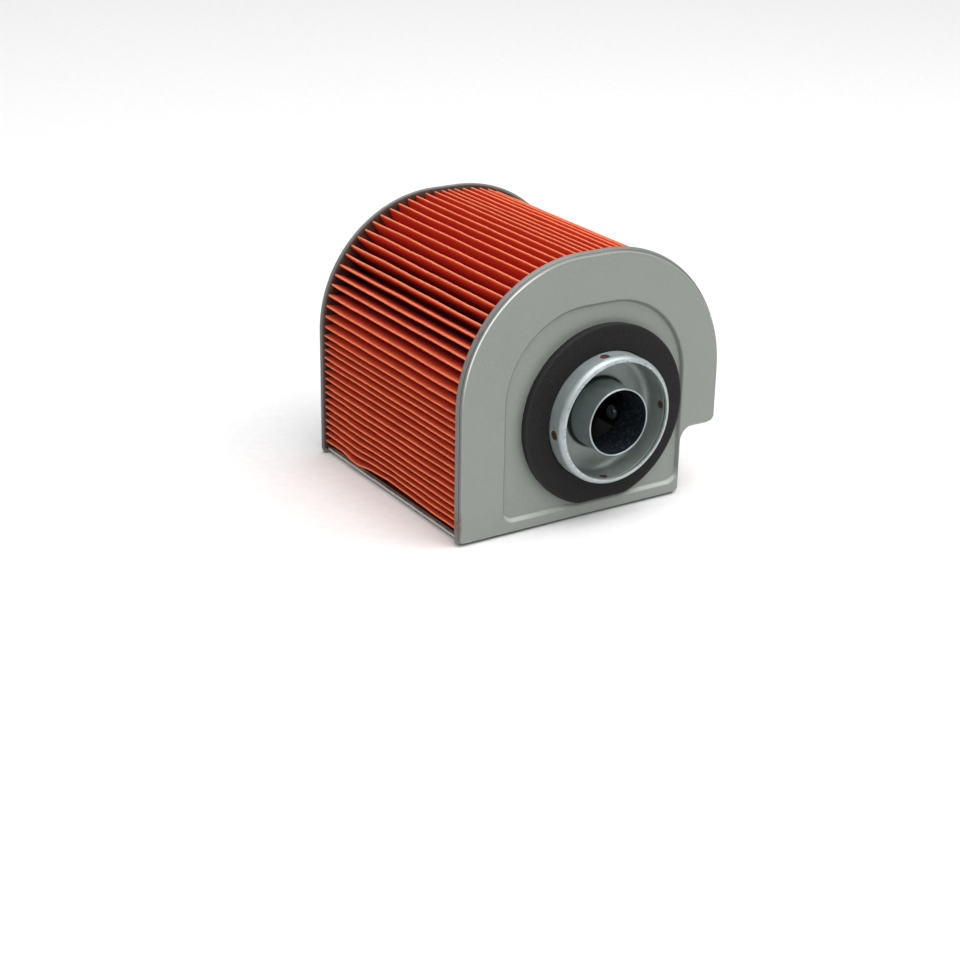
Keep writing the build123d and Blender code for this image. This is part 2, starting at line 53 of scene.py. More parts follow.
# the rims' profiles, from their edge to the face: distance in from the outline, depth behind the face, and a
# mark that the paint reads, 1 on the rim and 0.5 where the face begins
RIM_FRONT = (
    (0.0, 2.4, 1.0), (0.0, 2.28, 1.0), (0.12, 2.1, 1.0), (0.5, 1.56, 1.0), (0.9, 0.98, 1.0),
    (1.2, 0.55, 0.95), (1.34, 0.34, 0.9), (1.44, 0.2, 0.8), (1.56, 0.09, 0.7), (1.7, 0.03, 0.6),
    (1.86, 0.0, 0.5),
)
RIM_REAR = (
    (0.0, 2.4, 1.0), (0.0, 2.28, 1.0), (0.06, 1.9, 1.0), (0.2, 1.45, 1.0), (0.42, 1.05, 1.0),
    (0.72, 0.66, 0.95), (0.98, 0.4, 0.9), (1.22, 0.22, 0.8), (1.45, 0.1, 0.7), (1.66, 0.03, 0.6),
    (1.86, 0.0, 0.5),
)
RIM_BACK = (
    (0.85, 2.4, 1.0), (0.95, 2.25, 1.0), (1.4, 1.65, 1.0), (1.85, 1.08, 1.0), (2.0, 0.92, 0.5),
    (2.2, SHEET, 0.5),
)
# the rear rim's edge is thickened by the paint and by the resin it was dipped in
RIM_REAR_BACK = (
    (1.4, 2.4, 1.0), (1.45, 2.25, 1.0), (1.6, 1.65, 1.0), (1.85, 1.08, 1.0), (2.0, 0.92, 0.5),
    (2.2, SHEET, 0.5),
)
FACE_INSET = 1.95        # where the flat of a face begins
LIP = dict(left=-40.3, right=42.3, top=86.3, low=4.9, r_left=35.0, r_right=35.5, r_low=5.5)
FLOOR = dict(left=-38.6, right=40.6, top=84.6, low=6.7, r_left=33.4, r_right=33.9, r_low=3.8)
RECESS = 1.5
AX, AZ = 3.75, 41.7      # the outlet's axis
DISC_R = 1.5             # the rear plate's middle, where its rings of points end
COLLAR_R, COLLAR_WALL, COLLAR_FLANGE_R = 25.4, 0.9, 31.0
MOUTH, SHOULDER = -10.0, -7.4
STAKES = (98.0, 185.0, 266.0, 2.0)
STAKE_Y, STAKE_R = -5.0, 2.2
CUP_SHEET, CUP_FLOOR, CUP_BEND = 0.8, 2.7, 3.0
TUBE_R, TUBE_WALL, SPOUT = 13.4, 0.8, -11.0
GASKET_R, GASKET_BORE, GASKET_FLAT = 36.0, 25.6, 7.4
PAPER_Y = (-46.6, 57.6)
FOLD_INSET, PLEAT, PITCH = 17.2, 15.7, 3.1
FEET = (3.5, 30.4)
RESIN_LEVEL, RESIN_INSET, RESIN_FEET = 2.42, 18.5, (2.5, 29.5)
# corners of a plate and of its sunken panel, and the degrees to either side that get closer points
CORNERS = ((-58.5, 1.5, 4.5), (42.4, 1.5, 5), (44, 27, 9), (58.5, 28, 5), (-38, 6.5, 7), (39.5, 6.5, 9))


# ---- meshes -----------------------------------------------------------------------------
def mesh_piece(name, points, faces, smooth=True):
    """A mesh object from points in mm in the row frame."""
    mesh = bpy.data.meshes.new(name)
    mesh.from_pydata((np.asarray(points, float) * MM).tolist(), [], faces)
    mesh.update()
    if smooth:
        mesh.shade_smooth()
    obj = bpy.data.objects.new(name, mesh)
    bpy.context.scene.collection.objects.link(obj)
    return obj


def grid_faces(rows, columns, wrap_columns=False, wrap_rows=False):
    """Quads of a rows x columns grid of points, row by row."""
    r = np.arange(rows if wrap_rows else rows - 1)
    c = np.arange(columns if wrap_columns else columns - 1)
    rr, cc = np.meshgrid(r, c, indexing="ij")
    r2, c2 = (rr + 1) % rows, (cc + 1) % columns
    quads = [rr * columns + cc, rr * columns + c2, r2 * columns + c2, r2 * columns + cc]
    return np.stack(quads, -1).reshape(-1, 4).tolist()


def store(obj, name, values):
    """A number for each point of a mesh, for its material to read."""
    layer = obj.data.attributes.new(name, "FLOAT", "POINT")
    layer.data.foreach_set("value", np.asarray(values, np.float32).ravel())


def bumpy(points, size, seed=0.0):
    """Smooth noise from about -1 to 1 at each point, with features of that size in mm."""
    places = np.asarray(points) / size + (seed, -seed, 2 * seed)
    return np.array([noise.noise(place) for place in places])


def points_of(obj):
    """A mesh's points in mm."""
    return np.array([v.co for v in obj.data.vertices]) / MM


def move_points(obj, points):
    """A mesh's points put at new places in mm."""
    obj.data.vertices.foreach_set("co", (points * MM).astype(np.float32).ravel())
    obj.data.update()


def off_axis(points):
    """Each point's way off the outlet's axis, as x and z, and its length."""
    radial = points[:, [0, 2]] - (AX, AZ)
    return radial, np.linalg.norm(radial, axis=1, keepdims=True)


def recalculated(obj):
    """Normals made to face outwards."""
    bm = bmesh.new()
    bm.from_mesh(obj.data)
    bmesh.ops.recalc_face_normals(bm, faces=bm.faces)
    bm.to_mesh(obj.data)
    bm.free()
    return obj


def lathe(name, profile, segments):
    """A closed profile of (radius, distance behind the front plate's face) turned about the outlet's axis."""
    profile = np.asarray(profile, float)
    angle = np.linspace(0, 2 * math.pi, segments, endpoint=False)
    x = AX + profile[:, 0, None] * np.cos(angle)
    z = AZ + profile[:, 0, None] * np.sin(angle)
    y = np.repeat(FRONT + profile[:, 1, None], segments, 1)
    points = np.stack([x, y, z], -1).reshape(-1, 3)
    obj = mesh_piece(name, points, grid_faces(len(profile), segments, True, True))
    return recalculated(obj)


def arc(centre, radius, start, end, count):
    """Points of an arc, angles in degrees."""
    a = np.radians(np.linspace(start, end, count))
    return np.stack([centre[0] + radius * np.cos(a), centre[1] + radius * np.sin(a)], -1)


def rounded(points, radii, step=0.35):
    """A closed polygon with rounded corners, as closely spaced points."""
    out = []
    count = len(points)
    for i, radius in enumerate(radii):
        p, a, b = (np.asarray(points[j % count], float) for j in (i, i - 1, i + 1))
        ua, ub = (a - p) / np.linalg.norm(a - p), (b - p) / np.linalg.norm(b - p)
        if radius <= 0:
            out.append(p[None])
            continue
        half = math.acos(np.clip(ua @ ub, -1, 1)) / 2
        centre = p + (ua + ub) / np.linalg.norm(ua + ub) * radius / math.sin(half)
        start = p + ua * radius / math.tan(half) - centre
        end = p + ub * radius / math.tan(half) - centre
        turn = math.atan2(start[0] * end[1] - start[1] * end[0], start @ end)
        n = max(6, int(abs(turn) * radius / step))
        t = math.atan2(start[1], start[0]) + np.linspace(0, turn, n)
        out.append(np.stack([centre[0] + radius * np.cos(t), centre[1] + radius * np.sin(t)], -1))
    line = np.concatenate(out)
    return resampled(np.vstack([line, line[:1]]), step)


def resampled(line, step):
    """The same line with points no further apart than step."""
    out = [line[:1]]
    for a, b in zip(line[:-1], line[1:]):
        n = max(1, int(math.ceil(np.linalg.norm(b - a) / step)))
        out.append(a + (b - a) * np.linspace(0, 1, n + 1)[1:, None])
    return np.vstack(out)


def arch_curve(inset, foot_left, foot_right):
    """The plates' crown from the left foot over to the right foot."""
    lx, lz, lr = ARCH["left"]
    rx, rz, rr = ARCH["right"]
    return np.vstack([
        [[-HALF + inset, foot_left]],
        arc((lx, lz), lr - inset, 180, 90, 120),
        arc((rx, rz), rr - inset, 90, 0, 120),
        [[HALF - inset, foot_right]],
    ])


def plate_curve(inset):
    """Outline of an end plate, set in by a distance, as a closed line."""
    right, notch_x, notch_z = HALF - inset, NOTCH_X - inset, NOTCH_Z + inset
    crown = arch_curve(inset, 12.0, notch_z + 8)
    corners = [(-HALF + inset, 12.0), *map(tuple, crown[1:-1]), (right, notch_z + 8),
               (right, notch_z), (notch_x, notch_z), (notch_x, inset), (-HALF + inset, inset)]
    radii = [0.0] * (len(corners) - 4)
    radii += [NOTCH_OUTER_R - inset, NOTCH_INNER_R + inset, FOOT_R - inset, FOOT_R - inset]
    return rounded(corners, radii)


def panel_curve(shape):
    """Outline of the sunken panel."""
    left, right, top, low = (shape[key] for key in ("left", "right", "top", "low"))
    radii = [shape[key] for key in ("r_low", "r_left", "r_right", "r_low")]
    return rounded([(left, low), (left, top), (right, top), (right, low)], radii)


def polar(curve, angles):
    """Distance of a closed line from the outlet's axis, in each direction."""
    dx, dz = curve[:-1, 0] - AX, curve[:-1, 1] - AZ
    a, r = np.arctan2(dz, dx), np.hypot(dx, dz)
    order = np.argsort(a)
    a, r = a[order], r[order]
    return np.interp(angles, np.r_[a - 2 * math.pi, a, a + 2 * math.pi], np.r_[r, r, r])


def directions():
    """Directions from the outlet's axis: even ones, and closer ones at the corners."""
    angles = [np.linspace(-math.pi, math.pi, 540, endpoint=False)]
    for x, z, spread in CORNERS:
        middle = math.atan2(z - AZ, x - AX)
        angles.append(middle + np.radians(np.linspace(-spread, spread, 46)))
    return np.unique(np.round((np.concatenate(angles) + math.pi) % (2 * math.pi) - math.pi, 5))


def smoothstep(x):
    """0 below 0, 1 above 1 and an even rise between."""
    x = np.clip(x, 0, 1)
    return x * x * (3 - 2 * x)


# ---- end plates: one pressed sheet each, its rim turned in and its panel sunk -------------
def end_plate(name, face_y, side, hole):
    """side is 1 for the front plate, whose rim points to +y, and -1 for the rear one."""
    angles = directions()
    cos, sin = np.cos(angles), np.sin(angles)
    rings, marks, slopes = [], [], []

    def ring(radius, depth, mark, slope=0.0):
        y = np.full(len(cos), face_y + side * depth)
        rings.append(np.stack([AX + radius * cos, y, AZ + radius * sin], -1))
        marks.append(np.full(len(cos), mark))
        slopes.append(np.full(len(cos), slope))

    def skin(rim, inner):
        """One face of the sheet from edge to middle; inner is the sheet's thickness on the back."""
        for inset, depth, mark in rim:
            ring(polar(plate_curve(inset), angles), depth, mark)
        spread = inner * 0.45
        start = polar(plate_curve(FACE_INSET + inner * 0.8), angles)
        lip, floor = polar(panel_curve(LIP), angles) + spread, polar(panel_curve(FLOOR), angles) + spread
        for share in np.linspace(0, 1, 26)[:-1]:
            ring(start + (lip - start) * share, inner, 0.0)
        for share in np.linspace(0, 1, 15):
            shape = {key: LIP[key] + share * (FLOOR[key] - LIP[key]) for key in LIP}
            depth = RECESS * float(smoothstep(share)) + inner
            ring(polar(panel_curve(shape), angles) + spread, depth, 0.0, math.sin(math.pi * share))
        end = COLLAR_R + 0.1 if hole else DISC_R
        for share in np.linspace(0, 1, 22)[1:]:
            ring(floor + (end - floor) * share, RECESS + inner, 0.0)

    skin(RIM_FRONT if hole else RIM_REAR, 0.0)
    rows = len(rings)
    skin(RIM_BACK if hole else RIM_REAR_BACK, SHEET)
    for values in (rings, marks, slopes):
        values[rows:] = values[rows:][::-1]
    points, mark, count = np.vstack(rings), np.concatenate(marks), len(angles)
    faces = grid_faces(len(rings), count, True, True)
    if not hole:
        # a disc closes the middle of each skin instead of the wall of the hole
        faces = [f for f in faces if not (min(f) // count == rows - 1 and max(f) // count == rows)]
        faces.append([(rows - 1) * count + i for i in range(count)])
        faces.append([rows * count + i for i in range(count)][::-1])
    # the pressed face isn't quite flat
    level = points * (1, 0, 1)
    swell = np.abs(bumpy(level, 34.0, 3.0 if hole else 9.0) * 0.12 + bumpy(level, 13.0, 5.0) * 0.03)
    points[:, 1] += side * np.where(mark < 0.01, swell, 0)
    obj = recalculated(mesh_piece(name, points, faces))
    store(obj, "rim", mark)
    # 1 on the recess's lower slope, which faces up, and -1 on the slopes at its sides and top, where the
    # paint puts a painted highlight and painted shade
    facing_up = smoothstep((13.0 - points[:, 2]) / 7.0)
    store(obj, "slope", np.concatenate(slopes) * (2 * facing_up - 1))
    return obj


front_plate = end_plate("front_plate_pressing", FRONT, 1, True)
rear_plate = end_plate("rear_plate_pressing", REAR, -1, False)


# ---- pleated paper ------------------------------------------------------------------------
def fold_lengths():
    """Lengths of the inner fold line: left wall, left bend, top, right bend, right wall."""
    lx, lz, lr = ARCH["left"]
    rx, rz, rr = ARCH["right"]
    bends = [(radius - FOLD_INSET) * math.pi / 2 for radius in (lr, rr)]
    return [lz - FEET[0], bends[0], rx - lx, bends[1], rz - FEET[1]]


def fold_place(distance):
    """Points on the inner fold line and the ways out of the arch there, from distances along it."""
    lx, lz, lr = ARCH["left"]
    rx, rz, rr = ARCH["right"]
    # distances where the left wall, the left bend, the top and the right bend end
    a, b, c, d = np.cumsum(fold_lengths())[:4]
    s = np.asarray(distance, float)
    turn_l = math.pi - np.clip(s - a, 0, b - a) / (lr - FOLD_INSET)
    turn_r = math.pi / 2 - np.clip(s - c, 0, d - c) / (rr - FOLD_INSET)
    left = s <= (b + c) / 2
    turn = np.where(left, turn_l, turn_r)
    ox, oz = np.cos(turn), np.sin(turn)
    cx, cz = np.where(left, lx, rx), np.where(left, lz, rz)
    radius = np.where(left, lr, rr) - FOLD_INSET
    x = cx + radius * ox + np.where(left, np.clip(s - b, 0, None), -np.clip(c - s, 0, None))
    z = cz + radius * oz - np.where(s <= a, a - s, 0) - np.where(s >= d, s - d, 0)
    return x, z, ox, oz


def pleat_section(pitch, count):
    """The folded sheet's middle line: each point's fold, share of the pitch and height."""
    inner_half, outer_half = 0.42 / pitch, 0.22 / pitch      # half widths of the folds' rounded ends
    low, high = 0.3, 15.4                                    # the flank is straight between these heights
    flank = 0.5 - outer_half - inner_half
    rising = [(0.0, 0.0), (inner_half * 0.85, 0.12)]
    for height in (0.5, 3.0, 6.0, 9.0, 12.0, 14.2, 15.15):
        rising.append((inner_half + flank * ((height - low) / (high - low)), height))
    rising += [(0.5 - outer_half * 0.72, 15.52), (0.5 - outer_half * 0.3, 15.68)]
    falling = [(1 - share, height) for share, height in rising[:0:-1]]
    section = [(k, share, height) for k in range(count) for share, height in rising + falling]
    section.append((count - 1, 1.0, 0.0))
    return np.array(section).T


def foot_sag(y):
    """How far the pleats next to the left foot stand clear of the pan, in mm; they dip in one place."""
    sag = 1.9 + 0.8 * math.exp(-(y / 18.0) ** 2) - 1.9 * math.exp(-((y - 31.0) / 9.0) ** 2)
    return sag - 0.6 * float(smoothstep((y - 25.0) / 30.0))


def pleats():
    """Points of the folded sheet row by row along y, with each one's reach, which is 0 at the inner folds
    and 1 at the outer ones, and how squarely its pleat faces left."""
    total = sum(fold_lengths())
    count = round(total / PITCH)
    pitch = total / count
    fold, share, height = pleat_section(pitch, count)
    x0, z0, ox, oz = fold_place((fold + share) * pitch)
    reach = height / PLEAT
    fold = fold.astype(int)
    rng = np.random.RandomState(11)
    own_phase = rng.uniform(0, 40, count)
    own_size = rng.uniform(0.6, 1.3, count)
    lean = rng.normal(0, 0.16, count)
    lift = rng.normal(0, 0.10, count)
    rows = []
    for y in np.linspace(PAPER_Y[0] - 0.2, PAPER_Y[1] + 0.2, 112):
        sag = foot_sag(y)
        # each pleat leans by wave and bulges by bow; its outer edge is ragged by fuzz and uneven by rise
        wave, fuzz, rise, bow = (np.zeros(count) for _ in range(4))
        for k in range(count):
            s, phase = (k + 0.5) * pitch, own_phase[k]
            wave[k] = 0.22 * own_size[k] * noise.noise((y / 22.0, phase, 1.0))
            wave[k] += 0.14 * noise.noise((y / 40.0, s / 9.0, 7.0))
            wave[k] += math.exp(-s / 7.0) * (sag + 0.5 * noise.noise((y / 12.0, s / 7.0, 3.0)))
            wave[k] += lean[k]
            fuzz[k] = 0.07 * noise.noise((y / 2.3, phase * 3, 2.0))
            fuzz[k] += 0.05 * noise.noise((y / 0.9, phase * 3, 5.0))
            rise[k] = lift[k] + 0.10 * noise.noise((y / 9.0, phase * 2, 9.0))
            rise[k] += 0.05 * noise.noise((y / 1.3, phase, 6.0))
            bow[k] = noise.noise((y / 18.0, k * 2.7, 4.0))
        side = wave[fold] * reach ** 1.4 + fuzz[fold] * reach ** 3
        side += 0.22 * np.sin(math.pi * reach) * bow[fold]
        up = height * 0.988 + rise[fold] * reach ** 2 - 0.10
        rows.append(np.stack([x0 + ox * up + oz * side, np.full(len(x0), y), z0 + oz * up - ox * side], -1))
    rows = np.array(rows)
    west = np.clip(-ox, 0, 1) ** 2
    return rows, np.broadcast_to(reach, rows.shape[:2]), np.broadcast_to(west, rows.shape[:2])


def paper_piece():
    """The folded sheet given its thickness and closed along its two cut edges."""
    rows, reach, west = pleats()
    flat = rows[:, :, [0, 2]]
    tangent = np.gradient(flat, axis=1)
    tangent /= np.linalg.norm(tangent, axis=2, keepdims=True)
    half_sheet = 0.16
    normal = np.stack([-tangent[..., 1], tangent[..., 0]], -1) * half_sheet
    upper, lower = rows.copy(), rows.copy()
    upper[:, :, [0, 2]] += normal
    lower[:, :, [0, 2]] -= normal
    n_y, n_s = rows.shape[:2]
    points = np.concatenate([upper, lower[:, ::-1]], 1).reshape(-1, 3)
    columns = 2 * n_s
    faces = grid_faces(n_y, columns, True)
    for row in (0, n_y - 1):
        for i in range(n_s - 1):
            quad = [row * columns + j for j in (i, i + 1, columns - 2 - i, columns - 1 - i)]
            faces.append(quad if row else quad[::-1])
    obj = recalculated(mesh_piece("pleated_paper", points, faces))
    store(obj, "reach", np.concatenate([reach, reach[:, ::-1]], 1))
    store(obj, "west", np.concatenate([west, west[:, ::-1]], 1))
    return obj


paper = paper_piece()


# ---- foam gasket --------------------------------------------------------------------------
def gasket_piece():
    """A foam ring, round but for a flat at the bottom, with softened edges."""
    angles = np.linspace(-math.pi, math.pi, 480, endpoint=False)
    cos, sin = np.cos(angles), np.sin(angles)
    front, back, ease, bore_ease = -2.1, 1.3, 0.32, 0.4
    rows = []

    def outline(flat_z):
        """Distance of the outer edge from the axis, its two corners softened."""
        down = np.where(sin < -0.05, (AZ - flat_z) / np.maximum(-sin, 0.05), 999.0)
        over = np.minimum(down, GASKET_R + 30) - GASKET_R
        return GASKET_R - 0.25 * np.log(np.exp(-over / 0.25) + 1.0)

    def ring(radius, y):
        rows.append(np.stack([AX + radius * cos, np.full(len(cos), FRONT + y), AZ + radius * sin], -1))

    hull = outline(GASKET_FLAT)
    # it narrows towards the plate, most of all at the flat
    ring(outline(GASKET_FLAT + 1.3) - 0.35, back)
    for y in (-0.8, -1.2, -1.6):
        ring(hull, y)
    for turn in np.linspace(0, math.pi / 2, 6):
        ring(hull - ease * (1 - math.cos(turn)), front + ease * (1 - math.sin(turn)))
    for share in np.linspace(0, 1, 12)[1:-1]:
        ring(hull - ease + (GASKET_BORE + bore_ease - hull + ease) * share, front)
    for turn in np.linspace(math.pi / 2, 0, 5):
        radius = GASKET_BORE + bore_ease * (1 - math.cos(turn))
        ring(np.full(len(cos), radius), front + bore_ease * (1 - math.sin(turn)))
    ring(np.full(len(cos), GASKET_BORE), back)
    points = np.vstack(rows)
    # the face and the outer edge aren't quite even
    face = np.abs(points[:, 1] - (FRONT + front)) < 0.02
    points[:, 1] += np.where(face, 0.05 + 0.06 * bumpy(points, 9.0, 12.0), 0)
    radial, length = off_axis(points)
    dent = 0.04 + 0.05 * bumpy(points, 7.0, 20.0)[:, None]
    points[:, [0, 2]] -= radial / length * dent * (length > 30)
    obj = recalculated(mesh_piece("foam_gasket", points, grid_faces(len(rows), len(cos), True, True)))
    store(obj, "skirt", smoothstep((length[:, 0] - GASKET_R + 0.5) / 0.4))
    return obj


gasket = gasket_piece()


# ---- outlet: collar, cup, stakes and tube ---------------------------------------------------
def collar_piece():
    """The collar: a flange behind the plate, a straight wall and a shoulder bent in to a rough mouth."""
    r_out, r_in = COLLAR_R, COLLAR_R - COLLAR_WALL
    run, inward = SHOULDER - MOUTH, 2.1
    radius = (run ** 2 + inward ** 2) / (2 * inward)
    centre = (r_out - radius, SHOULDER)
    end = math.degrees(math.asin(run / radius))
    shoulder = list(arc(centre, radius, 0, -end, 14))
    inside = list(arc(centre, radius - COLLAR_WALL, -end, 0, 10))
    edge = [shoulder[-1] + (inside[0] - shoulder[-1]) * share for share in (0.2, 0.5, 0.8)]
    flange = [(COLLAR_FLANGE_R, 2.35), (27.5, 2.35), (25.2, 2.1), (25.12, -1.8)]
    wall = [(r_out, y) for y in np.linspace(-2.1, SHOULDER, 26)]
    inner = [(r_in, y) for y in np.linspace(SHOULDER, 2.3, 30)[1:]]
    flange_back = [(r_in + 0.25, 2.95), (r_in + 0.9, 3.2), (COLLAR_FLANGE_R, 3.2)]
    profile = flange + wall + shoulder[1:] + edge + inside + inner + flange_back
    obj = lathe("outlet_collar_turned", profile, 512)
    points = points_of(obj)
    rough = np.exp(-((points[:, 1] - (FRONT + MOUTH + 0.1)) / 0.28) ** 2)
    burr = bumpy(points, 1.1, 31.0) * 0.10 + bumpy(points, 0.45, 8.0) * 0.05
    radial, length = off_axis(points)
    # the cut is most torn at the upper right
    torn = np.clip(radial / length @ np.array([0.72, 0.70]), 0, 1)
    points[:, 1] += np.clip(rough * (0.05 + np.abs(burr) * (0.6 + 1.2 * torn)), 0, 0.4)
    move_points(obj, dimpled(points, COLLAR_R, 0.20))
    store(obj, "edge", rough)
    return obj


def stake_frames():
    """For each stake, the point on the axis at its height, the way out to it and the way across."""
    for angle in STAKES:
        a = math.radians(angle)
        out = np.array([math.cos(a), 0, math.sin(a)])
        yield np.array([AX, FRONT + STAKE_Y, AZ]), out, np.array([-math.sin(a), 0, math.cos(a)])


def dimpled(points, radius, depth):
    """Points pushed towards the axis at the four stakes."""
    moved = points.copy()
    for centre, out, across in stake_frames():
        rel = points - centre
        near = rel @ out > radius * 0.8
        d = np.hypot(rel @ across, rel[:, 1])
        push = depth * (1 - smoothstep((d - 1.1) / 1.5)) - 0.05 * np.exp(-((d - 2.7) / 0.35) ** 2)
        moved -= np.where(near, push, 0)[:, None] * out
    return moved


def cup_piece():
    """The pressed cup inside the collar, its floor open for the tube."""
    wall_out = COLLAR_R - COLLAR_WALL
    wall_in = wall_out - CUP_SHEET
    corner = (wall_in - CUP_BEND, CUP_FLOOR - CUP_BEND)
    profile = [(TUBE_R + 0.1, CUP_FLOOR), *[(r, CUP_FLOOR) for r in np.linspace(TUBE_R + 0.4, corner[0], 20)]]
    profile += list(arc(corner, CUP_BEND, 90, 0, 12)[1:])
    profile += [(wall_in, y) for y in np.linspace(corner[1], SHOULDER + 0.1, 24)[1:]]
    profile += [(wall_in + 0.1, SHOULDER), (wall_out - 0.02, SHOULDER), (wall_out - 0.02, corner[1])]
    profile += list(arc(corner, CUP_BEND + CUP_SHEET - 0.02, 0, 90, 8)[1:])
    profile += [(TUBE_R + 0.1, CUP_FLOOR + CUP_SHEET)]
    obj = lathe("outlet_cup_pressed", profile, 384)
    points = points_of(obj)
    inner = off_axis(points)[1][:, 0] < wall_in + 0.05
    # the stakes were punched outwards from in here
    for centre, out, across in stake_frames():
        rel = points - centre
        distance = np.hypot(rel @ across, rel[:, 1])
        near = inner & (rel @ out > wall_in * 0.8)
        points += np.where(near, 0.18 * (1 - smoothstep((distance - 0.9) / 1.3)), 0)[:, None] * out
    points[:, 1] += np.where(inner, bumpy(points, 16.0, 14.0) * 0.05, 0)
    move_points(obj, points)
    # where a painted shadow lies round the tube's foot
    radius = off_axis(points)[1][:, 0]
    store(obj, "foot", np.exp(-(np.clip(radius - TUBE_R - 0.7, 0, None) / 0.45) ** 2))
    return obj


def tube_piece():
    """The tube through the cup's floor, its mouth rounded and its foot rolled over the floor."""
    r_out, r_in, half = TUBE_R, TUBE_R - TUBE_WALL, TUBE_WALL / 2
    turns = np.linspace(0, math.pi, 15)
    profile = [(r_out, y) for y in np.linspace(1.3, SPOUT + 0.5, 18)]
    profile += [(r_in + half + half * math.cos(t), SPOUT + half - half * math.sin(t)) for t in turns]
    profile += [(r_in, y) for y in np.linspace(SPOUT + 0.5, 5.0, 22)]
    profile += [(r_out, 5.0), (14.8, 4.3), (14.8, 3.5), (r_out, 3.5)]
    profile += [(r_out, 2.7), (14.1, 2.7), (14.1, 2.1), (r_out + 0.25, 1.45)]
    obj = lathe("outlet_tube_rolled", profile, 320)
    points = points_of(obj)
    radial, radius = off_axis(points)
    swell = bumpy(points, 6.0, 17.0)[:, None] * 0.03
    points[:, [0, 2]] += radial / radius * (swell * (radius < TUBE_R - half))
    move_points(obj, points)
    radius = radius[:, 0]
    # the bore, where the paint puts dark blue with painted reflections
    store(obj, "inside", (radius < r_in + 0.15).astype(float))
    # where a painted shadow falls: the tube's outside at its foot
    store(obj, "foot", np.where(radius > r_in + half, smoothstep((points[:, 1] - FRONT - 0.9) / 0.5), 0))
    return obj


def stake_piece():
    """Four round marks, each a shallow dish whose ends follow the collar and the cup."""
    points, faces = [], []
    radii, sides = (0.0, 0.35, 0.7, 1.05, 1.4, 1.75, 2.05, STAKE_R), 28
    cup_inside = COLLAR_R - COLLAR_WALL - CUP_SHEET
    for which, (centre, out, across) in enumerate(stake_frames()):
        ends = []
        for end in (1, -1):
            rings = []
            for radius in radii:
                ring = []
                dish = (radius / STAKE_R) ** 2
                for t in np.linspace(0, 2 * math.pi, sides, endpoint=False):
                    cos, sin = math.cos(t), math.sin(t)
                    wobble = 1 + 0.10 * noise.noise((3 * cos + which * 5, 3 * sin, 4.0 * end))
                    size = radius * wobble * (1.0 if end > 0 else 0.72)
                    u, v = size * cos, size * sin
                    if end > 0:
                        surface = math.sqrt(COLLAR_R ** 2 - u * u) - 0.17 + 0.10 * dish
                    else:
                        surface = math.sqrt(cup_inside ** 2 - u * u) + 0.13 - 0.07 * dish
                    surface += 0.05 * noise.noise((u * 1.3 + which * 9, v * 1.3, 3.0 * end))
                    ring.append(centre + out * surface + across * u + np.array([0, v, 0]))
                rings.append(ring)
            ends.append(rings)
        rings = ends[0] + ends[1][::-1]
        base = sum(len(block) for block in points)
        points.append(np.array(rings).reshape(-1, 3))
        faces += [[base + i for i in face] for face in grid_faces(len(rings), sides, True)]
    obj = mesh_piece("collar_stake_marks", np.vstack(points), faces)
    merged(obj, 0.00002)
    return recalculated(obj)


def merged(obj, distance):
    """Points closer together than a distance in metres joined into one."""
    bm = bmesh.new()
    bm.from_mesh(obj.data)
    bmesh.ops.remove_doubles(bm, verts=bm.verts, dist=distance)
    bm.to_mesh(obj.data)
    bm.free()


collar, cup, tube, stakes = collar_piece(), cup_piece(), tube_piece(), stake_piece()


# ---- potting behind the plates ---------------------------------------------------------------
def potting_piece(name, face_y, side):
    """Cast band between the rim and the inner screen; it dips at the rim and climbs at the screen."""
    first = 0.82 if side > 0 else 1.35
    insets = np.r_[first + np.array([0.0, 0.12, 0.3, 0.55, 0.9]), np.linspace(2.8, RESIN_INSET, 25)]
    columns = 420
    rows = []
    for inset in insets:
        line = resampled_to(arch_curve(inset, *RESIN_FEET), columns)
        points = np.stack([line[:, 0], np.zeros(columns), line[:, 1]], -1)
        dip = 0.3 * np.exp(-(inset - first) / 0.3) - 0.25 * np.exp(-(RESIN_INSET - inset) / 0.9)
        level = RESIN_LEVEL + 0.14 * bumpy(points + (0, face_y, 0), 7.0, 2.0)
        level += 0.05 * bumpy(points, 2.2, 6.0)
        points[:, 1] = face_y + side * (level - dip)
        rows.append(points)
    back = [r.copy() for r in (rows[-1], rows[0])]
    for r in back:
        r[:, 1] = face_y + side * 0.9
    obj = mesh_piece(name, np.vstack(rows + back), grid_faces(len(rows) + 2, columns, False, True))
    return recalculated(obj)


def resampled_to(line, count):
    """The same line as that many evenly spaced points."""
    length = np.r_[0, np.cumsum(np.linalg.norm(np.diff(line, axis=0), axis=1))]
    t = np.linspace(0, length[-1], count)
    return np.stack([np.interp(t, length, line[:, 0]), np.interp(t, length, line[:, 1])], -1)


front_potting = potting_piece("front_potting", FRONT, 1)
rear_potting = potting_piece("rear_potting", REAR, -1)


